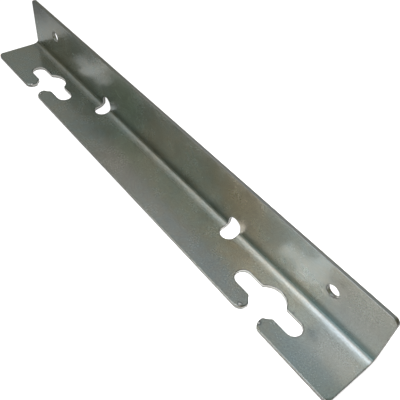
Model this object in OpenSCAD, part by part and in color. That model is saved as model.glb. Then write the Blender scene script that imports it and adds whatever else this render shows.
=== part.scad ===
// Angle bracket folded from one strip of zinc-plated sheet steel, in millimetres.
// It lies on its slotted flange, with the upright flange along the back.
// X runs along the fold, -Y towards the slotted flange's free edge, +Z up the upright.
// The origin is the middle of the box's underside.

/* [Sheet] */
// Length of the bracket along the fold
bracket_length = 300; // [280:5:400]
// Thickness of the sheet
sheet_thickness = 2; // [1:0.25:3]
// Inside radius of the fold
fold_radius = 3; // [1:0.5:4]
// Depth of the slotted flange, from the upright's back to the free edge
slotted_flange_depth = 31; // [31:0.5:60]
// Height of the upright flange, from the underside to the top edge
upright_height = 34; // [30:0.5:80]
// Rounding of the four free corners
corner_radius = 3; // [1:0.5:8]

/* [T-slots] */
// Distance between the middles of the two T-slots
t_slot_pitch = 203; // [180:1:220]
// Distance from the upright's back to the middle line of the T-slots
t_slot_line = 17.5; // [16.5:0.5:18]
// Length of a T-slot's cross slot, over its round ends
cross_slot_length = 41.5; // [32:0.5:48]
// Width of the cross slot
cross_slot_width = 9; // [7:0.5:10]
// Diameter of the round opening in the middle of the cross slot
head_opening_diameter = 18; // [15:0.5:19]
// Width of the entry, from the free edge to the round opening
entry_width = 9; // [7:0.5:11]
// Rounding of the corners where the round opening meets the cross slot and the entry
blend_radius = 1.5; // [0.5:0.25:2]
// Rounding of the two fingertips at the free edge
fingertip_radius = 4; // [1:0.5:4.5]

/* [Fold openings] */
// Distance between the middles of the two openings across the fold
fold_opening_pitch = 120; // [60:1:140]
// Width of a fold opening, along the fold
fold_opening_width = 8.5; // [5:0.5:12]
// Run of its straight sides past the fold, onto each flat flange
fold_opening_run = 0.5; // [0.25:0.25:3]

/* [Screw holes] */
// Distance between the middles of the two screw holes in the upright
screw_hole_pitch = 242; // [200:1:260]
// Diameter of a screw hole
screw_hole_diameter = 6.6; // [4:0.1:9]
// Height of the screw holes above the underside
screw_hole_height = 20.5; // [16:0.5:24]

/* [Hidden] */
$fn = 96;

// How far a cutting tool runs past the sheet
past = 1;
zinc_plating = [0.47, 0.49, 0.46];

half_length = bracket_length / 2;
back_y = slotted_flange_depth / 2;
free_edge_y = back_y - slotted_flange_depth;
outer_fold_radius = fold_radius + sheet_thickness;
fold_axis_y = back_y - outer_fold_radius;
fold_axis_z = outer_fold_radius;
t_slot_y = back_y - t_slot_line;
slot_to_free_edge = t_slot_y - free_edge_y;

// Its children and their mirror image in X
module both_ends() {
    children();
    mirror([1, 0, 0])
        children();
}

// Runs an outline drawn in Y and Z along the whole bracket
module along_fold() {
    translate([-half_length, 0, 0])
        rotate([90, 0, 90])
            linear_extrude(height = bracket_length)
                children();
}

// Runs an outline drawn in X and Y down through the slotted flange
module through_slotted_flange() {
    translate([0, 0, -past])
        linear_extrude(height = sheet_thickness + 2 * past)
            children();
}

// Runs an outline drawn in X and Z through the upright flange
module through_upright() {
    translate([0, back_y + past, 0])
        rotate([90, 0, 0])
            linear_extrude(height = sheet_thickness + 2 * past)
                children();
}

// Section of the folded sheet: two flat flanges and the quarter ring between them
module folded_section() {
    translate([free_edge_y, 0])
        square([fold_axis_y - free_edge_y, sheet_thickness]);
    translate([back_y - sheet_thickness, fold_axis_z])
        square([sheet_thickness, upright_height - fold_axis_z]);
    translate([fold_axis_y, fold_axis_z])
        intersection() {
            difference() {
                circle(r = outer_fold_radius);
                circle(r = fold_radius);
            }
            translate([0, -outer_fold_radius])
                square(outer_fold_radius);
        }
}

// What rounding takes off a square corner at the origin, of a sheet towards +X and +Y
module corner_offcut(radius) {
    difference() {
        translate([-past, -past])
            square(radius + past);
        translate([radius, radius])
            circle(r = radius);
    }
}

// What rounding takes off the sharp corner where a round opening about the origin
// meets the edge of a slot, which lies offset from the X axis and runs towards +X
module blend_offcut(opening_radius, offset, radius) {
    reach = opening_radius + radius;
    centre = [sqrt(reach ^ 2 - (offset + radius) ^ 2), offset + radius];
    in_slot = [centre.x, offset - radius / 2];
    in_opening = centre * (opening_radius - radius / 2) / reach;
    difference() {
        polygon([centre, in_slot, in_opening]);
        translate(centre)
            circle(r = radius);
    }
}

// Outline of one T-slot, with its middle at the origin and its entry towards -Y
module t_slot_outline() {
    opening_radius = head_opening_diameter / 2;
    half_slot = cross_slot_width / 2;
    half_entry = entry_width / 2;
    slot_end_x = cross_slot_length / 2 - half_slot;

    circle(r = opening_radius);
    square([2 * slot_end_x, cross_slot_width], center = true);
    translate([-half_entry, -slot_to_free_edge - past])
        square([entry_width, slot_to_free_edge + past]);
    both_ends() {
        translate([slot_end_x, 0])
            circle(r = half_slot);
        blend_offcut(opening_radius, half_slot, blend_radius);
        mirror([0, 1])
            blend_offcut(opening_radius, half_slot, blend_radius);
        rotate(-90)
            blend_offcut(opening_radius, half_entry, blend_radius);
        translate([half_entry, -slot_to_free_edge])
            corner_offcut(fingertip_radius);
    }
}

// Outline of the part of a fold opening on one flange, from the outside of the fold
module fold_opening_outline() {
    half_width = fold_opening_width / 2;
    straight = outer_fold_radius + fold_opening_run;
    translate([-half_width, -straight])
        square([fold_opening_width, straight + past]);
    translate([0, -straight])
        circle(r = half_width);
}

// One opening across the fold: a slot with round ends that is bent with the sheet
module fold_opening() {
    translate([0, back_y, -past])
        linear_extrude(height = fold_axis_z + past)
            fold_opening_outline();
    translate([0, fold_axis_y, 0])
        rotate([-90, 0, 0])
            linear_extrude(height = outer_fold_radius + past)
                fold_opening_outline();
}

module angle_bracket() {
    color(zinc_plating)
        difference() {
            along_fold()
                folded_section();
            both_ends() {
                through_slotted_flange()
                    translate([t_slot_pitch / 2, t_slot_y])
                        t_slot_outline();
                through_slotted_flange()
                    translate([-half_length, free_edge_y])
                        corner_offcut(corner_radius);
                through_upright()
                    translate([-half_length, upright_height])
                        mirror([0, 1])
                            corner_offcut(corner_radius);
                through_upright()
                    translate([screw_hole_pitch / 2, screw_hole_height])
                        circle(d = screw_hole_diameter);
                translate([fold_opening_pitch / 2, 0, 0])
                    fold_opening();
            }
        }
}

angle_bracket();
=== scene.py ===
# The angle bracket's looks: its zinc-plated sheet, the floor it lies on, the studio light and the camera.
# Lengths are in millimetres, as in the part's source, unless a name says otherwise.
# The sheet is drawn flat, with X along the fold and the run across it, and is then folded.
from math import ceil, cos, degrees, asin, pi, radians, sin, sqrt

import bmesh
import bpy
from mathutils import Matrix, Vector, geometry, kdtree


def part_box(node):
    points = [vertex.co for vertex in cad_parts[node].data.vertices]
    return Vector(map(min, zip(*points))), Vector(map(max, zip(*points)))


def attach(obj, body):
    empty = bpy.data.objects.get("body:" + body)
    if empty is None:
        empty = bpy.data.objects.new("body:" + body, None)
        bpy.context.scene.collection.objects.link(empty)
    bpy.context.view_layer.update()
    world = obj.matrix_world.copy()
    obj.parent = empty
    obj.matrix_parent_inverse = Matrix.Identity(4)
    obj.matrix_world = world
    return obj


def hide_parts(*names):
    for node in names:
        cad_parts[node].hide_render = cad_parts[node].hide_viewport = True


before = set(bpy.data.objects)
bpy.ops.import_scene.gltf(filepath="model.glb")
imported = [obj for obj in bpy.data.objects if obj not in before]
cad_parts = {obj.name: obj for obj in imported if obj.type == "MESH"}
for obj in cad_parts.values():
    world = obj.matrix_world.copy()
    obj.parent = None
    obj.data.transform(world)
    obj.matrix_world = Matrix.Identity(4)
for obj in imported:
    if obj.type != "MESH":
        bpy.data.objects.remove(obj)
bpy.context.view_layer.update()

MM = 0.001
NODE = "angle_bracket"

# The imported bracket's box, which gives the overall sizes
box_low, box_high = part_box(NODE)
HALF_LENGTH = (box_high.x - box_low.x) / 2 / MM
FREE_EDGE_Y = box_low.y / MM
BACK_Y = box_high.y / MM
TOP_Z = box_high.z / MM

# Sheet
SHEET_THICKNESS = 2.0
FOLD_RADIUS = 3.0
CORNER_RADIUS = 3.0

# T-slots in the slotted flange, open to its free edge
T_SLOT_PITCH = 203.0
T_SLOT_LINE = 17.5
CROSS_SLOT_LENGTH = 41.5
CROSS_SLOT_WIDTH = 9.0
HEAD_OPENING_DIAMETER = 18.0
ENTRY_WIDTH = 9.0
BLEND_RADIUS = 1.5
FINGERTIP_RADIUS = 4.0

# Openings across the fold, and screw holes in the upright
FOLD_OPENING_PITCH = 120.0
FOLD_OPENING_WIDTH = 8.5
FOLD_OPENING_RUN = 0.5
SCREW_HOLE_PITCH = 242.0
SCREW_HOLE_DIAMETER = 6.6
SCREW_HOLE_HEIGHT = 20.5

# The fold starts gently, a little out on the slotted flange, and is tightest where it meets the upright
FOLD_LEAD = 2.4
FOLD_TUCK = 1.0
FOLD_TIGHTENING = 1.9

# Sheared edges: rounded where the punch went in, nearly square where it came out
ROLLOVER = 0.24
FINGERTIP_ROLL = 3.2
EXIT_BREAK = 0.12
BURNISHED_DEPTH = 1.2
ROUNDING_STEPS = 4
WEAR_REACH = 1.2

# Fineness of the mesh
ARC_STEP = 0.6
ARC_STEP_DEGREES = 7.5
STRAIGHT_STEP = 3.0
GRID_STEP = 3.0
FOLD_STEPS = 30
PATH_STEPS = 300

# Points nearer to each other are welded, and points nearer to a cut count as on it
WELD_DISTANCE = 1e-4
CUT_SNAP = 0.01

# Places worked out from the sizes above
OUTER_FOLD_RADIUS = FOLD_RADIUS + SHEET_THICKNESS
FOLD_AXIS_Y = BACK_Y - OUTER_FOLD_RADIUS
FOLD_AXIS_Z = OUTER_FOLD_RADIUS
FOLD_START = FOLD_AXIS_Y - FREE_EDGE_Y
FOLD_RUN = pi / 2 * (FOLD_RADIUS + SHEET_THICKNESS / 2)
FOLD_END = FOLD_START + FOLD_RUN
BEND_START = FOLD_START - FOLD_LEAD
BEND_END = FOLD_END - FOLD_TUCK
SHEET_RUN = FOLD_END + TOP_Z - FOLD_AXIS_Z
T_SLOT_RUN = BACK_Y - T_SLOT_LINE - FREE_EDGE_Y
SCREW_HOLE_RUN = FOLD_END + SCREW_HOLE_HEIGHT - FOLD_AXIS_Z


def arc(centre, radius, start, end, roll=1.0):
    """Points along an arc in degrees. The sheet lies left of travel.

    Each comes with its direction into the sheet, and with how many times the usual rollover its edge has.
    """
    turn = end - start
    steps = max(ceil(abs(turn) / ARC_STEP_DEGREES), ceil(radians(abs(turn)) * radius / ARC_STEP))
    towards_sheet = -1 if turn > 0 else 1
    points = []
    for i in range(steps + 1):
        angle = radians(start + turn * i / steps)
        outward = Vector((cos(angle), sin(angle)))
        point_roll = 1 + (roll - 1) * sin(pi * i / steps)
        points.append((Vector(centre) + outward * radius, outward * towards_sheet, point_roll))
    return points


def closed_outline(points):
    """Drops repeated points and divides the straight stretches of a closed outline."""
    outline = []
    for i, (point, inward, roll) in enumerate(points):
        following = points[(i + 1) % len(points)][0]
        span = (following - point).length
        if span < WELD_DISTANCE:
            continue
        parts = ceil(span / STRAIGHT_STEP)
        outline += [(point.lerp(following, k / parts), inward, roll) for k in range(parts)]
    return outline


def mirrored(points):
    """The same stretch on the other side of the middle, in the same sense of travel."""
    return [(Vector((-p.x, p.y)), Vector((-n.x, n.y)), roll) for p, n, roll in reversed(points)]


def shifted(points, x, run):
    return [(p + Vector((x, run)), n, roll) for p, n, roll in points]


def t_slot():
    """A T-slot about its middle, from the left fingertip round to the right one."""
    opening = HEAD_OPENING_DIAMETER / 2
    half_slot = CROSS_SLOT_WIDTH / 2
    half_entry = ENTRY_WIDTH / 2
    slot_end = CROSS_SLOT_LENGTH / 2 - half_slot
    reach = opening + BLEND_RADIUS
    slot_turn = degrees(asin((half_slot + BLEND_RADIUS) / reach))
    entry_turn = 90 - degrees(asin((half_entry + BLEND_RADIUS) / reach))
    slot_blend_x = sqrt(reach**2 - (half_slot + BLEND_RADIUS) ** 2)
    entry_blend_y = -sqrt(reach**2 - (half_entry + BLEND_RADIUS) ** 2)

    right = arc((0, 0), opening, 90, slot_turn)
    right += arc((slot_blend_x, half_slot + BLEND_RADIUS), BLEND_RADIUS, 180 + slot_turn, 270)
    right += arc((slot_end, 0), half_slot, 90, -90)
    right += arc((slot_blend_x, -half_slot - BLEND_RADIUS), BLEND_RADIUS, 90, 180 - slot_turn)
    right += arc((0, 0), opening, -slot_turn, -entry_turn)
    right += arc((half_entry + BLEND_RADIUS, entry_blend_y), BLEND_RADIUS, 180 - entry_turn, 180)
    tip_centre = (half_entry + FINGERTIP_RADIUS, FINGERTIP_RADIUS - T_SLOT_RUN)
    right += arc(tip_centre, FINGERTIP_RADIUS, 180, 270, roll=FINGERTIP_ROLL)
    return mirrored(right) + right


def blank_outline():
    """The flat sheet's outer edge, with both T-slots, counterclockwise."""
    x = HALF_LENGTH - CORNER_RADIUS
    near = CORNER_RADIUS
    far = SHEET_RUN - CORNER_RADIUS
    points = arc((-x, near), CORNER_RADIUS, 180, 270)
    for side in (-1, 1):
        points += shifted(t_slot(), side * T_SLOT_PITCH / 2, T_SLOT_RUN)
    points += arc((x, near), CORNER_RADIUS, 270, 360)
    points += arc((x, far), CORNER_RADIUS, 0, 90)
    points += arc((-x, far), CORNER_RADIUS, 90, 180)
    return closed_outline(points)


def fold_opening_outline(x):
    """A slot with round ends across the fold, clockwise."""
    radius = FOLD_OPENING_WIDTH / 2
    points = arc((x, FOLD_END + FOLD_OPENING_RUN), radius, 180, 0)
    points += arc((x, FOLD_START - FOLD_OPENING_RUN), radius, 0, -180)
    return closed_outline(points)


def screw_hole_outline(x):
    return closed_outline(arc((x, SCREW_HOLE_RUN), SCREW_HOLE_DIAMETER / 2, 360, 0))


def edge_profile():
    """Section of the sheared edge, from the inside face to the outside one: insets and depths."""
    turns = [i / ROUNDING_STEPS * pi / 2 for i in range(ROUNDING_STEPS + 1)]
    entered = [(ROLLOVER * (1 - sin(a)), ROLLOVER * (1 - cos(a))) for a in turns]
    left = [(EXIT_BREAK * (1 - sin(a)), SHEET_THICKNESS - EXIT_BREAK * (1 - cos(a))) for a in turns]
    return entered + [(0, BURNISHED_DEPTH)] + left[::-1]


def edge_point(point, inward, roll, inset, depth):
    """A point of the edge's band. The roll acts on the side where the punch went in."""
    if depth <= ROLLOVER:
        inset *= roll
        depth *= roll
    return (point.x + inward.x * inset, point.y + inward.y * inset, -depth)


def add_edges(bm, outline):
    """The band of faces round one outline. Its flat wall takes the second material."""
    profile = edge_profile()
    rings = [[bm.verts.new(edge_point(*place, *step)) for place in outline] for step in profile]
    for k, (upper, lower) in enumerate(zip(rings, rings[1:])):
        on_wall = profile[k][0] == 0 and profile[k + 1][0] == 0
        for i in range(len(outline)):
            j = (i + 1) % len(outline)
            face = bm.faces.new((upper[i], lower[i], lower[j], upper[j]))
            face.material_index = 1 if on_wall else 0


def outline_tree(outlines):
    """For finding how far a point of the flat sheet lies from the nearest edge."""
    points = [place[0] for outline in outlines for place in outline]
    tree = kdtree.KDTree(len(points))
    for i, point in enumerate(points):
        tree.insert((point.x, point.y, 0), i)
    tree.balance()
    return tree


def grid_points(outlines):
    """Points inside the sheet's faces, staggered in rows, and clear of every outline."""
    tree = outline_tree(outlines)
    rows = ceil(SHEET_RUN / GRID_STEP)
    columns = ceil(2 * HALF_LENGTH / GRID_STEP)
    points = []
    for row in range(1, rows):
        for column in range(1, columns):
            x = -HALF_LENGTH + (column + row % 2 / 2) * GRID_STEP
            point = (x, row * SHEET_RUN / rows, 0)
            if tree.find(point)[2] > WEAR_REACH + GRID_STEP / 2:
                points.append(Vector(point[:2]))
    return points


def add_flat_face(bm, outlines, inset, depth, inner_points):
    """One face of the sheet, triangulated inside its outline and round its openings."""
    points = []
    loops = []
    for outline in outlines:
        loops.append(range(len(points), len(points) + len(outline)))
        points += [Vector(edge_point(*place, inset, depth)[:2]) for place in outline]
    for outline in outlines:
        points += [p + n * WEAR_REACH for p, n, _ in outline[::2]]
    points += inner_points
    inside_with_holes = 2
    made = geometry.delaunay_2d_cdt(points, [], loops, inside_with_holes, WELD_DISTANCE / 10)
    verts = {}
    for triangle in made[2]:
        for i in triangle:
            if i not in verts:
                verts[i] = bm.verts.new((made[0][i].x, made[0][i].y, -depth))
        bm.faces.new([verts[i] for i in triangle])


def mark_wear(bm, outlines):
    """Writes how near each vertex lies to an edge: 1 on the edge, 0 from WEAR_REACH inwards."""
    layer = bm.verts.layers.float.new("edge_nearness")
    tree = outline_tree(outlines)
    for vert in bm.verts:
        distance = tree.find((vert.co.x, vert.co.y, 0))[2]
        vert[layer] = max(0.0, 1 - distance / WEAR_REACH)


def fold_turn(share):
    """Turn in radians at a share of the way across the fold."""
    return pi / 2 * share**FOLD_TIGHTENING


def fold_path():
    """Places of the sheet's middle at even steps across the fold, from where it leaves the flange."""
    turns = [fold_turn((i + 0.5) / PATH_STEPS) for i in range(PATH_STEPS)]
    half_sheet = SHEET_THICKNESS / 2
    inward_step = (BACK_Y - half_sheet - FREE_EDGE_Y - BEND_START) / sum(cos(turn) for turn in turns)
    upward_step = (FOLD_AXIS_Z - FOLD_TUCK - half_sheet) / sum(sin(turn) for turn in turns)
    places = [Vector((0, 0))]
    for turn in turns:
        places.append(places[-1] + Vector((cos(turn) * inward_step, sin(turn) * upward_step)))
    return places


def folded(flat, path):
    """Where a point of the flat sheet lies once it is folded.

    Its depth is measured from the inside face.
    """
    x, run, depth = flat.x, flat.y, -flat.z
    share = (run - BEND_START) / (BEND_END - BEND_START)
    if share <= 0:
        return Vector((x, FREE_EDGE_Y + run, SHEET_THICKNESS - depth))
    if share >= 1:
        return Vector((x, BACK_Y - SHEET_THICKNESS + depth, FOLD_AXIS_Z + run - FOLD_END))
    step = int(share * PATH_STEPS)
    middle = path[step].lerp(path[step + 1], share * PATH_STEPS - step)
    turn = fold_turn(share)
    outward = Vector((sin(turn), -cos(turn)))
    place = middle + outward * (depth - SHEET_THICKNESS / 2)
    return Vector((x, FREE_EDGE_Y + BEND_START + place.x, SHEET_THICKNESS / 2 + place.y))


def fold_sheet(bm):
    """Keeps each vertex's place on the flat sheet for the finish, then folds the sheet."""
    for i in range(FOLD_STEPS + 1):
        line = (0, BEND_START + (BEND_END - BEND_START) * i / FOLD_STEPS, 0)
        everything = bm.verts[:] + bm.edges[:] + bm.faces[:]
        bmesh.ops.bisect_plane(bm, geom=everything, dist=CUT_SNAP, plane_co=line, plane_no=(0, 1, 0))
    layer = bm.verts.layers.float_vector.new("sheet_place")
    path = fold_path()
    for vert in bm.verts:
        vert[layer] = vert.co
        vert.co = folded(vert.co, path) * MM


def make_bracket():
    outlines = [blank_outline()]
    for side in (-1, 1):
        outlines.append(fold_opening_outline(side * FOLD_OPENING_PITCH / 2))
        outlines.append(screw_hole_outline(side * SCREW_HOLE_PITCH / 2))
    bm = bmesh.new()
    for outline in outlines:
        add_edges(bm, outline)
    inner_points = grid_points(outlines)
    add_flat_face(bm, outlines, ROLLOVER, 0, inner_points)
    add_flat_face(bm, outlines, EXIT_BREAK, SHEET_THICKNESS, inner_points)
    bmesh.ops.remove_doubles(bm, verts=bm.verts[:], dist=WELD_DISTANCE)
    mark_wear(bm, outlines)
    fold_sheet(bm)
    bmesh.ops.recalc_face_normals(bm, faces=bm.faces[:])
    for face in bm.faces:
        face.smooth = True
    mesh = bpy.data.meshes.new("folded_sheet")
    bm.to_mesh(mesh)
    bm.free()
    piece = bpy.data.objects.new("folded_sheet", mesh)
    bpy.context.scene.collection.objects.link(piece)
    weighted = piece.modifiers.new("flat_faces_stay_flat", "WEIGHTED_NORMAL")
    weighted.mode = "FACE_AREA"
    weighted.weight = 100
    return piece


def add_node(tree, kind, inputs=None, **settings):
    """Adds a shader node. Each input is a constant, or the output socket that feeds it."""
    node = tree.nodes.new(kind)
    for name, value in settings.items():
        setattr(node, name, value)
    for name, value in (inputs or {}).items():
        if isinstance(value, bpy.types.NodeSocket):
            tree.links.new(value, node.inputs[name])
        else:
            node.inputs[name].default_value = value
    return node


def maths(tree, operation, *values):
    """The result of a Math node on constants or sockets."""
    return add_node(tree, "ShaderNodeMath", dict(enumerate(values)), operation=operation).outputs[0]


def vector_maths(tree, operation, *vectors):
    """The vector that a Vector Math node makes of constants or sockets."""
    return add_node(tree, "ShaderNodeVectorMath", dict(enumerate(vectors)), operation=operation).outputs[0]


def distance(tree, first, second):
    apart = {0: first, 1: second}
    return add_node(tree, "ShaderNodeVectorMath", apart, operation="DISTANCE").outputs["Value"]


def scaled(tree, colour, scale):
    inputs = {0: colour, "Scale": scale}
    return add_node(tree, "ShaderNodeVectorMath", inputs, operation="SCALE").outputs[0]


def coordinates(tree, place):
    """The X, Y and Z of a place."""
    return add_node(tree, "ShaderNodeSeparateXYZ", {0: place}).outputs


def mix_colours(tree, share, first, second):
    inputs = {0: share, 6: first, 7: second}
    return add_node(tree, "ShaderNodeMix", inputs, data_type="RGBA").outputs[2]


def ramp(tree, value, low, high):
    """A smooth step from 0 at low to 1 at high."""
    inputs = {"Value": value, "From Min": low, "From Max": high}
    return add_node(tree, "ShaderNodeMapRange", inputs, interpolation_type="SMOOTHSTEP").outputs[0]


def noise(tree, place, scale, detail=2.0, roughness=0.5):
    inputs = {"Vector": place, "Scale": scale, "Detail": detail, "Roughness": roughness}
    return add_node(tree, "ShaderNodeTexNoise", inputs).outputs[0]


def new_group(name, inputs, outputs):
    """An empty shader group with named sockets: its tree, its input sockets and its output node."""
    tree = bpy.data.node_groups.new(name, "ShaderNodeTree")
    for socket, (kind, value) in inputs.items():
        made = tree.interface.new_socket(name=socket, in_out="INPUT", socket_type=kind)
        if value is not None:
            made.default_value = value
    for socket, kind in outputs.items():
        tree.interface.new_socket(name=socket, in_out="OUTPUT", socket_type=kind)
    return tree, tree.nodes.new("NodeGroupInput").outputs, tree.nodes.new("NodeGroupOutput")


def zinc_grain_group():
    """The plating's fine crystals and broader clouds, as masks from 0 to 1."""
    tree, given, result = new_group(
        "zinc_grain",
        {
            "Place": ("NodeSocketVector", None),
            "Crystal Size": ("NodeSocketFloat", 0.9),
            "Cloud Size": ("NodeSocketFloat", 14.0),
        },
        {"Crystals": "NodeSocketFloat", "Clouds": "NodeSocketFloat"},
    )
    crystal_scale = maths(tree, "DIVIDE", 1.0, given["Crystal Size"])
    cloud_scale = maths(tree, "DIVIDE", 1.0, given["Cloud Size"])
    crystals = noise(tree, given["Place"], crystal_scale, detail=3.0, roughness=0.65)
    clouds = noise(tree, given["Place"], cloud_scale, detail=4.0, roughness=0.55)
    tree.links.new(ramp(tree, crystals, 0.25, 0.75), result.inputs["Crystals"])
    tree.links.new(ramp(tree, clouds, 0.3, 0.7), result.inputs["Clouds"])
    return tree


def plating_tint_group():
    """The passivated plating's colour.

    It drifts between a warm and a cool grey, broadly and in small stains.
    """
    tree, given, result = new_group(
        "plating_tint",
        {
            "Place": ("NodeSocketVector", None),
            "Drift Size": ("NodeSocketFloat", 45.0),
            "Stain Size": ("NodeSocketFloat", 5.0),
            "Warm": ("NodeSocketColor", (0.5, 0.5, 0.5, 1)),
            "Cool": ("NodeSocketColor", (0.5, 0.5, 0.5, 1)),
        },
        {"Color": "NodeSocketColor"},
    )
    drift_scale = maths(tree, "DIVIDE", 1.0, given["Drift Size"])
    stain_scale = maths(tree, "DIVIDE", 1.0, given["Stain Size"])
    drift = ramp(tree, noise(tree, given["Place"], drift_scale, detail=3.0), 0.35, 0.65)
    stains = ramp(tree, noise(tree, given["Place"], stain_scale, detail=3.0), 0.3, 0.7)
    coolness = maths(tree, "MULTIPLY_ADD", stains, 0.45, maths(tree, "MULTIPLY", drift, 0.55))
    colour = mix_colours(tree, coolness, given["Warm"], given["Cool"])
    tree.links.new(colour, result.inputs["Color"])
    return tree


def fold_strain_group():
    """How much the sheet was stretched in bending, and the fine marks along the fold that it has there.

    The mask is 1 in the middle of the fold and 0 on the flat flanges, and the marks fade with it.
    """
    tree, given, result = new_group(
        "fold_strain",
        {
            "Place": ("NodeSocketVector", None),
            "Mark Width": ("NodeSocketFloat", 1.0),
            "Mark Length": ("NodeSocketFloat", 6.0),
        },
        {"Mask": "NodeSocketFloat", "Marks": "NodeSocketFloat"},
    )
    run = coordinates(tree, given["Place"])["Y"]
    from_middle = maths(tree, "ABSOLUTE", maths(tree, "SUBTRACT", run, (BEND_START + BEND_END) / 2))
    strain = ramp(tree, from_middle, (BEND_END - BEND_START) / 2, FOLD_RUN / 4)
    sides = {0: given["Mark Length"], 1: given["Mark Width"], 2: given["Mark Width"]}
    mark_size = add_node(tree, "ShaderNodeCombineXYZ", sides).outputs[0]
    mark_place = vector_maths(tree, "DIVIDE", given["Place"], mark_size)
    marks = ramp(tree, noise(tree, mark_place, 1.0, detail=3.0, roughness=0.6), 0.3, 0.7)
    tree.links.new(strain, result.inputs["Mask"])
    tree.links.new(maths(tree, "MULTIPLY", marks, strain), result.inputs["Marks"])
    return tree


def stain_and_shade_group():
    """One faint patch about a place on the flat sheet, with a ragged rim: one of the stains in the plating,
    and in one use a painted shade.
    """
    tree, given, result = new_group(
        "stain_and_shade",
        {
            "Place": ("NodeSocketVector", None),
            "Middle": ("NodeSocketVector", None),
            "Reach": ("NodeSocketFloat", 20.0),
            "Raggedness": ("NodeSocketFloat", 0.8),
        },
        {"Mask": "NodeSocketFloat"},
    )
    away = distance(tree, given["Place"], given["Middle"])
    share = maths(tree, "DIVIDE", away, given["Reach"])
    rim = noise(tree, given["Place"], 0.12, detail=4.0, roughness=0.6)
    ragged = maths(tree, "MULTIPLY_ADD", maths(tree, "SUBTRACT", rim, 0.5), given["Raggedness"], share)
    tree.links.new(ramp(tree, ragged, 1.0, 0.1), result.inputs["Mask"])
    return tree


def edge_wear_and_light_group():
    """How handling and shearing mark the sheet beside its edges, and where light is painted there, each as
    a mask that breaks up inwards.

    The first output is the brighter band along an edge: rubbed plating with a painted highlight of the
    rolled edge. Rim is the thin dark line: dull plating with painted shade of the rolled edge.
    """
    tree, given, result = new_group(
        "edge_wear_and_light",
        {
            "Nearness": ("NodeSocketFloat", 0.0),
            "Place": ("NodeSocketVector", None),
            "Patch Size": ("NodeSocketFloat", 4.0),
        },
        {"Polish And Highlight": "NodeSocketFloat", "Rim": "NodeSocketFloat"},
    )
    scale = maths(tree, "DIVIDE", 1.0, given["Patch Size"])
    patches = noise(tree, given["Place"], scale, detail=4.0, roughness=0.6)
    # Mask of the rubbed band, which also paints the rolled edge's highlight
    polished_and_highlighted = maths(tree, "MULTIPLY_ADD", patches, 0.7, given["Nearness"])
    # Mask of the dark rim: dull plating and painted shade of the rolled edge
    dulled = maths(tree, "MULTIPLY_ADD", patches, 0.4, given["Nearness"])
    tree.links.new(ramp(tree, polished_and_highlighted, 0.75, 1.35), result.inputs["Polish And Highlight"])
    tree.links.new(ramp(tree, dulled, 0.68, 0.98), result.inputs["Rim"])
    return tree


def punched_area_group():
    """Where the openings are: 1 well inside the blank, and 0 along its outer edge, which was cut first."""
    tree, given, result = new_group(
        "punched_area",
        {
            "Place": ("NodeSocketVector", None),
            "Margin": ("NodeSocketFloat", 3.0),
        },
        {"Mask": "NodeSocketFloat"},
    )
    place = coordinates(tree, given["Place"])
    from_end = maths(tree, "SUBTRACT", HALF_LENGTH, maths(tree, "ABSOLUTE", place["X"]))
    from_top = maths(tree, "SUBTRACT", SHEET_RUN, place["Y"])
    from_edge = maths(tree, "MINIMUM", maths(tree, "MINIMUM", from_end, from_top), place["Y"])
    half_margin = maths(tree, "MULTIPLY", given["Margin"], 0.5)
    tree.links.new(ramp(tree, from_edge, half_margin, given["Margin"]), result.inputs["Mask"])
    return tree


def fingertip_glint_group():
    """A small painted glint on a fingertip's rolled edge, at the same place at both ends of the sheet.

    Core is the painted glint, and Ring the painted dark shade round it.
    """
    tree, given, result = new_group(
        "fingertip_glint",
        {
            "Place": ("NodeSocketVector", None),
            "Middle": ("NodeSocketVector", None),
            "Core Radius": ("NodeSocketFloat", 0.7),
            "Ring Radius": ("NodeSocketFloat", 1.5),
        },
        {"Core": "NodeSocketFloat", "Ring": "NodeSocketFloat"},
    )
    either_end = vector_maths(tree, "ABSOLUTE", given["Place"])
    away = distance(tree, either_end, given["Middle"])
    rim = noise(tree, given["Place"], 1.2, detail=3.0, roughness=0.6)
    ragged = maths(tree, "MULTIPLY_ADD", maths(tree, "SUBTRACT", rim, 0.5), 1.8, away)
    half_core = maths(tree, "MULTIPLY", given["Core Radius"], 0.5)
    half_ring = maths(tree, "MULTIPLY", given["Ring Radius"], 0.6)
    tree.links.new(ramp(tree, ragged, given["Core Radius"], half_core), result.inputs["Core"])
    tree.links.new(ramp(tree, ragged, given["Ring Radius"], half_ring), result.inputs["Ring"])
    return tree


def attribute(tree, name, output):
    return add_node(tree, "ShaderNodeAttribute", attribute_name=name).outputs[output]


def new_material(name):
    material = bpy.data.materials.new(name)
    material.use_nodes = True
    tree = material.node_tree
    return material, tree, tree.nodes["Principled BSDF"]


def use_group(tree, group, inputs):
    return add_node(tree, "ShaderNodeGroup", inputs, node_tree=group).outputs


# Zinc plating on the faces
CRYSTAL_SIZE = 0.9
CLOUD_SIZE = 16.0
TINT_DRIFT_SIZE = 45.0
TINT_SPECK_SIZE = 4.0
PLATING_WARM = (0.525, 0.52, 0.445, 1)
PLATING_COOL = (0.45, 0.52, 0.51, 1)
# Rubbed plating along the edges, which also paints the rolled edge's highlight
POLISH_AND_HIGHLIGHT_COLOUR = (0.56, 0.57, 0.53, 1)
# Dull plating at the edges, also painted shade of the rolled edge and of the ring round each glint
DULL_RIM_AND_SHADE_COLOUR = (0.22, 0.23, 0.23, 1)
# Painted glint on each fingertip
PAINTED_GLINT_COLOUR = (0.95, 0.95, 0.92, 1)

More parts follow.
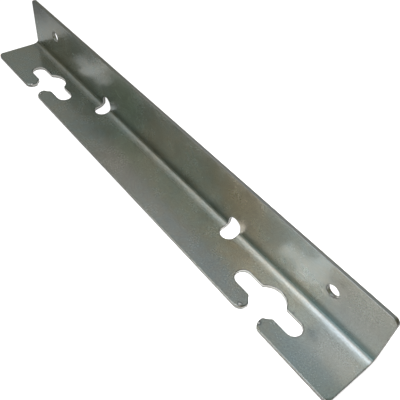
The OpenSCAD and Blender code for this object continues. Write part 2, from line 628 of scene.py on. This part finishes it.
# Faint stains, and one painted shade on the upright's far top corner: middle and reach on the flat sheet,
# and colour. Each lies over those before it
STAINS_AND_SHADE = (
    ((64, 50, 0), 30.0, (0.565, 0.505, 0.39, 1)),
    ((-38, 50, 0), 26.0, (0.45, 0.53, 0.45, 1)),
    ((132, 19, 0), 27.0, (0.456, 0.520, 0.530, 1)),
    ((138, 50, 0), 28.0, (0.510, 0.500, 0.443, 1)),
    # Painted shade, not a stain: it darkens the upright's far top corner
    ((-150, 70, 0), 30.0, (0.28, 0.28, 0.26, 1)),
    ((-15, 8, 0), 30.0, (0.575, 0.555, 0.495, 1)),
)

# Painted glints, each with a painted dark ring, on the fingertips beside each T-slot's entry, at both ends
# of the sheet
FINGERTIP_GLINTS = ((107.0, 2.5, 0), (94.8, 2.2, 0))

# How bright the plating is, and what its texture adds or takes
PLATING_SHADE = 0.79
CLOUD_SHADE = 0.10
CRYSTAL_SHADE = 0.32
# Painted shade taken off the fold's highlight towards -X
FOLD_PAINTED_SHADE = -0.40
STRAIN_MARK_SHADE = 0.2

# How strongly the rubbed band with its painted highlight, the dull rim with its painted shade and the
# painted dark ring round each glint show
POLISH_AND_HIGHLIGHT_STRENGTH = 0.3
RIM_STRENGTH = 0.15
# At the openings the dark rim is stronger: painted shade of the rolled edge
ADDED_RIM_AT_OPENINGS = 0.7
RING_STRENGTH = 0.8

# Painted shade on the fold's highlight, none at the first of these two values of X and full at the second
FOLD_UNSHADED_END = 180.0
FOLD_SHADED_END = -30.0

# How rough the plating is, and what its texture adds or takes
PLATING_ROUGHNESS = 0.20
CLOUD_ROUGHNESS = 0.06
CRYSTAL_ROUGHNESS = 0.04
STRAIN_ROUGHNESS = 0.13
POLISH_ROUGHNESS = -0.04
GLINT_ROUGHNESS = 0.4
PLATING_RELIEF = 0.02

# From this far inside the sheet's outer edge, a cut edge is taken as an opening's
PUNCHED_MARGIN = 3.0


def stained_and_shaded_plating(tree, groups, place):
    """The plating's drifting tint, with its stains and a painted shade laid over it."""
    drift = {
        "Place": place,
        "Drift Size": TINT_DRIFT_SIZE,
        "Stain Size": TINT_SPECK_SIZE,
        "Warm": PLATING_WARM,
        "Cool": PLATING_COOL,
    }
    colour = use_group(tree, groups["tint"], drift)["Color"]
    # The stains, and among them the painted shade at the far top corner
    for middle, reach, patch_colour in STAINS_AND_SHADE:
        stain_and_shade = use_group(tree, groups["stain_and_shade"], {"Place": place, "Middle": middle, "Reach": reach})
        colour = mix_colours(tree, stain_and_shade["Mask"], colour, patch_colour)
    return colour


def fingertip_glints(tree, groups, place):
    """The painted glints on the fingertips, and the painted dark rings round them."""
    marks = []
    for middle in FINGERTIP_GLINTS:
        marks.append(use_group(tree, groups["mark"], {"Place": place, "Middle": middle}))
    core = maths(tree, "MAXIMUM", *[mark["Core"] for mark in marks])
    ring = maths(tree, "MAXIMUM", *[mark["Ring"] for mark in marks])
    return core, ring


def plating_shade(tree, place, grain, strain):
    """How bright the plating is: it varies with its crystals and clouds, and on the fold with its marks and
    a painted shade that grows towards -X.
    """
    clouded = maths(tree, "MULTIPLY_ADD", grain["Clouds"], CLOUD_SHADE, PLATING_SHADE)
    speckled = maths(tree, "MULTIPLY_ADD", grain["Crystals"], CRYSTAL_SHADE, clouded)
    along = coordinates(tree, place)["X"]
    # Painted shade on the fold, growing towards -X
    painted_fold_shade = maths(tree, "MULTIPLY", ramp(tree, along, FOLD_UNSHADED_END, FOLD_SHADED_END), FOLD_PAINTED_SHADE)
    fold_shaded = maths(tree, "MULTIPLY_ADD", strain["Mask"], painted_fold_shade, speckled)
    return maths(tree, "MULTIPLY_ADD", strain["Marks"], STRAIN_MARK_SHADE, fold_shaded)


def plating_roughness(tree, grain, strain, polish_and_highlight, core):
    clouded = maths(tree, "MULTIPLY_ADD", grain["Clouds"], CLOUD_ROUGHNESS, PLATING_ROUGHNESS)
    speckled = maths(tree, "MULTIPLY_ADD", grain["Crystals"], CRYSTAL_ROUGHNESS, clouded)
    dulled = maths(tree, "MULTIPLY_ADD", strain["Mask"], STRAIN_ROUGHNESS, speckled)
    rubbed = maths(tree, "MULTIPLY_ADD", polish_and_highlight, POLISH_ROUGHNESS, dulled)
    return maths(tree, "MULTIPLY_ADD", core, GLINT_ROUGHNESS, rubbed)


def plated_face(groups):
    """Zinc plating on the sheet's faces: satin, finely crystalline, a little rubbed along the edges, with
    painted highlights and shade along the edges, painted glints with dark rings on the fingertips, and
    painted shade on the fold and in one corner.
    """
    material, tree, shader = new_material("plated_face")
    place = attribute(tree, "sheet_place", "Vector")
    nearness = attribute(tree, "edge_nearness", "Fac")
    grain_sizes = {"Place": place, "Crystal Size": CRYSTAL_SIZE, "Cloud Size": CLOUD_SIZE}
    grain = use_group(tree, groups["grain"], grain_sizes)
    strain = use_group(tree, groups["strain"], {"Place": place, "Mark Width": 0.9, "Mark Length": 6.0})
    punched = use_group(tree, groups["punched"], {"Place": place, "Margin": PUNCHED_MARGIN})
    wear_and_light = use_group(tree, groups["wear_and_light"], {"Nearness": nearness, "Place": place, "Patch Size": 4.0})
    core, ring = fingertip_glints(tree, groups, place)

    shade = plating_shade(tree, place, grain, strain)
    plated = scaled(tree, stained_and_shaded_plating(tree, groups, place), shade)
    # Painted highlight: the rubbed band along the edges also stands for the rolled edge's glint
    polish_and_highlight = maths(tree, "MULTIPLY", wear_and_light["Polish And Highlight"], POLISH_AND_HIGHLIGHT_STRENGTH)
    polished_and_highlighted = mix_colours(tree, polish_and_highlight, plated, POLISH_AND_HIGHLIGHT_COLOUR)
    # Painted shade: the dark rim along the edges, stronger at the openings, and the dark ring round each
    # glint
    rim_strength = maths(tree, "MULTIPLY_ADD", punched["Mask"], ADDED_RIM_AT_OPENINGS, RIM_STRENGTH)
    rim = maths(tree, "MULTIPLY", wear_and_light["Rim"], rim_strength)
    dark_share = maths(tree, "MAXIMUM", rim, maths(tree, "MULTIPLY", ring, RING_STRENGTH))
    rimmed = mix_colours(tree, dark_share, polished_and_highlighted, DULL_RIM_AND_SHADE_COLOUR)
    # Painted glint on each fingertip
    tree.links.new(mix_colours(tree, core, rimmed, PAINTED_GLINT_COLOUR), shader.inputs["Base Color"])

    roughness = plating_roughness(tree, grain, strain, wear_and_light["Polish And Highlight"], core)
    tree.links.new(roughness, shader.inputs["Roughness"])
    height = maths(tree, "ADD", strain["Marks"], grain["Crystals"])
    relief = {"Strength": 0.4, "Distance": PLATING_RELIEF * MM, "Height": height}
    bump = add_node(tree, "ShaderNodeBump", relief)
    tree.links.new(bump.outputs[0], shader.inputs["Normal"])
    shader.inputs["Metallic"].default_value = 1.0
    return material


# The sheared edge under its plating
EDGE_WARM = (0.50, 0.49, 0.455, 1)
EDGE_COOL = (0.48, 0.49, 0.465, 1)
STREAK_SIZE = 0.35
STREAK_STRETCH = (1.0, 1.0, 0.12)
BREAK_RAGGEDNESS = 0.4
BREAK_BLEND = 0.4
# Painted reflection that brightens the walls of the openings
PAINTED_REFLECTION_AT_OPENINGS = 0.8
BREAK_SHADE = -0.1
ADDED_BREAK_SHADE_AT_OPENINGS = -0.7
STREAK_SHADE = -0.10
EDGE_ROUGHNESS = 0.34
BREAK_ROUGHNESS = 0.14
EDGE_RELIEF = 0.03


def sheared_edge(groups):
    """The sheet's cut edge: a band of burnish, then the rougher break, with fine streaks through the sheet.

    The walls of the openings carry a painted reflection that makes them brighter than the outer edge, and
    their break is darker.
    """
    material, tree, shader = new_material("sheared_edge")
    place = attribute(tree, "sheet_place", "Vector")
    streak_place = vector_maths(tree, "MULTIPLY", place, STREAK_STRETCH)
    streak_sizes = {"Place": streak_place, "Crystal Size": STREAK_SIZE, "Cloud Size": 3.0}
    streaks = use_group(tree, groups["grain"], streak_sizes)
    drift = {"Place": place, "Drift Size": 20.0, "Stain Size": 2.0, "Warm": EDGE_WARM, "Cool": EDGE_COOL}
    tint = use_group(tree, groups["tint"], drift)
    depth = maths(tree, "MULTIPLY", coordinates(tree, place)["Z"], -1.0)
    ragged = maths(tree, "MULTIPLY_ADD", streaks["Clouds"], BREAK_RAGGEDNESS, depth)
    broken = ramp(tree, ragged, BURNISHED_DEPTH, BURNISHED_DEPTH + BREAK_BLEND)

    punched = use_group(tree, groups["punched"], {"Place": place, "Margin": PUNCHED_MARGIN})["Mask"]
    # Painted reflection: the walls of the openings are brightened
    burnished_with_painted_reflection = maths(tree, "MULTIPLY_ADD", punched, PAINTED_REFLECTION_AT_OPENINGS, 1.0)
    break_shade = maths(tree, "MULTIPLY_ADD", punched, ADDED_BREAK_SHADE_AT_OPENINGS, BREAK_SHADE)
    shade = maths(tree, "MULTIPLY_ADD", broken, break_shade, burnished_with_painted_reflection)
    streaked = maths(tree, "MULTIPLY_ADD", streaks["Crystals"], STREAK_SHADE, shade)
    tree.links.new(scaled(tree, tint["Color"], streaked), shader.inputs["Base Color"])
    roughness = maths(tree, "MULTIPLY_ADD", broken, BREAK_ROUGHNESS, EDGE_ROUGHNESS)
    tree.links.new(roughness, shader.inputs["Roughness"])
    relief = {"Strength": 0.5, "Distance": EDGE_RELIEF * MM, "Height": streaks["Crystals"]}
    bump = add_node(tree, "ShaderNodeBump", relief)
    tree.links.new(bump.outputs[0], shader.inputs["Normal"])
    shader.inputs["Metallic"].default_value = 1.0
    return material


# Floor and light, in metres
FLOOR_SIDE = 6.0
FLOOR_DROP = 0.0001
FLOOR_SHADE = 0.35
FLOOR_GLOW = 0.85
SOFTBOX_DISTANCE = 1.6
AIM_OF_LIGHTS = Vector((0, 0, 0.01))
ROOM_LIGHT = (0.114, 0.117, 0.076, 1)

# Softboxes: azimuth and elevation in degrees, width and height, and radiance in red, green and blue
SOFTBOXES = {
    "overhead_right": (-2, 61, 1.0, 0.8, (1.50, 1.38, 1.45)),
    "overhead_left": (-65, 58, 0.8, 0.8, (0.74, 0.72, 0.67)),
    "top": (-30, 84, 0.9, 0.6, (2.38, 2.45, 2.76)),
    "front_low": (0, 18, 0.95, 0.65, (0.71, 0.97, 1.12)),
    "left": (-90, 42, 1.2, 0.9, (0.21, 0.215, 0.245)),
    "back_left": (-150, 50, 1.2, 1.0, (0.28, 0.28, 0.33)),
    "back": (172, 56, 0.9, 0.8, (0.08, 0.145, 0.17)),
    "right": (60, 35, 1.2, 0.9, (0.50, 0.36, 0.28)),
}

# Low lamps over the floor, which the plating doesn't mirror: x, y and height, width and depth, and radiance
FLOOR_POOLS = {
    "near_floor": (0.1, -0.02, 0.12, 0.06, 0.06, 22.0),
    "middle_floor": (0.06, 0.01, 0.05, 0.04, 0.04, 7.0),
    "far_floor": (-0.1, -0.005, 0.05, 0.04, 0.04, 4.9),
    "far_end_floor": (-0.166, 0.0, 0.025, 0.02, 0.02, 2.5),
    "floor_behind": (0.0, 0.17, 0.1, 0.45, 0.14, 2.0),
}


def make_floor():
    """A plain pale floor. Its own faint glow keeps it near white in the picture."""
    mesh = bpy.data.meshes.new("floor")
    half = FLOOR_SIDE / 2
    corners = [(-half, -half), (half, -half), (half, half), (-half, half)]
    mesh.from_pydata([(x, y, -FLOOR_DROP) for x, y in corners], [], [(0, 1, 2, 3)])
    floor = bpy.data.objects.new("floor", mesh)
    bpy.context.scene.collection.objects.link(floor)
    material, tree, shader = new_material("pale_floor")
    shader.inputs["Base Color"].default_value = (FLOOR_SHADE, FLOOR_SHADE, FLOOR_SHADE, 1)
    shader.inputs["Roughness"].default_value = 0.8
    shader.inputs["Specular IOR Level"].default_value = 0.2
    shader.inputs["Emission Color"].default_value = (1, 1, 1, 1)
    straight = add_node(tree, "ShaderNodeLightPath").outputs["Is Camera Ray"]
    glow = maths(tree, "MULTIPLY", straight, FLOOR_GLOW)
    tree.links.new(glow, shader.inputs["Emission Strength"])
    mesh.materials.append(material)


def area_light(name, place, away, width, height, radiance):
    """A soft rectangular light that faces against the direction away."""
    light = bpy.data.lights.new(name, "AREA")
    light.shape = "RECTANGLE"
    light.size = width
    light.size_y = height
    strength = max(radiance)
    light.energy = pi * strength * width * height
    light.color = [channel / strength for channel in radiance]
    lamp = bpy.data.objects.new(name, light)
    bpy.context.scene.collection.objects.link(lamp)
    lamp.location = place
    lamp.rotation_mode = "QUATERNION"
    lamp.rotation_quaternion = away.to_track_quat("Z", "Y")
    lamp.visible_camera = False
    return lamp


def softbox(name, azimuth, elevation, width, height, radiance):
    """A softbox that faces the bracket. Azimuth 0 is at -Y, towards the viewer, and 90 is at +X."""
    a = radians(azimuth)
    e = radians(elevation)
    away = Vector((sin(a) * cos(e), -cos(a) * cos(e), sin(e)))
    area_light(name, AIM_OF_LIGHTS + away * SOFTBOX_DISTANCE, away, width, height, radiance)


def floor_pool(name, x, y, height, width, depth, strength):
    """A low lamp that brightens the floor under the bracket, and that the plating doesn't mirror."""
    lamp = area_light(name, Vector((x, y, height)), Vector((0, 0, 1)), width, depth, (strength,) * 3)
    lamp.visible_glossy = False


def make_lights():
    for name, settings in SOFTBOXES.items():
        softbox(name, *settings)
    for name, settings in FLOOR_POOLS.items():
        floor_pool(name, *settings)


def make_world():
    """Dim even light from the room, which the camera itself sees as white."""
    world = bpy.data.worlds.new("studio")
    bpy.context.scene.world = world
    world.use_nodes = True
    background = world.node_tree.nodes["Background"]
    straight = add_node(world.node_tree, "ShaderNodeLightPath").outputs["Is Camera Ray"]
    colour = mix_colours(world.node_tree, straight, ROOM_LIGHT, (1, 1, 1, 1))
    world.node_tree.links.new(colour, background.inputs["Color"])


# Camera, found from the bracket's straight edges and openings in the photograph
CAMERA_PLACE = (173.5, -121.9, 205.8)
CAMERA_AIM = (34.3, 12.3, 2.0)
CAMERA_ROLL_DEGREES = 6.91
LENS = 47.45
SENSOR_WIDTH = 36.0


def make_camera():
    data = bpy.data.cameras.new("camera")
    data.sensor_width = SENSOR_WIDTH
    data.lens = LENS
    data.clip_start = 10 * MM
    data.clip_end = 20.0
    camera = bpy.data.objects.new("camera", data)
    bpy.context.scene.collection.objects.link(camera)
    place = Vector(CAMERA_PLACE) * MM
    aim = Vector(CAMERA_AIM) * MM
    upright = (aim - place).to_track_quat("-Z", "Y").to_matrix().to_4x4()
    roll = Matrix.Rotation(radians(CAMERA_ROLL_DEGREES), 4, "Z")
    camera.matrix_world = Matrix.Translation(place) @ upright @ roll
    bpy.context.scene.camera = camera


make_camera()
make_floor()
make_lights()
make_world()
bpy.context.scene.view_settings.view_transform = "Standard"

bracket = make_bracket()
finish_groups = {
    "grain": zinc_grain_group(),
    "tint": plating_tint_group(),
    "stain_and_shade": stain_and_shade_group(),
    "strain": fold_strain_group(),
    "wear_and_light": edge_wear_and_light_group(),
    "mark": fingertip_glint_group(),
    "punched": punched_area_group(),
}
bracket.data.materials.append(plated_face(finish_groups))
bracket.data.materials.append(sheared_edge(finish_groups))
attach(bracket, "root")
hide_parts(NODE)
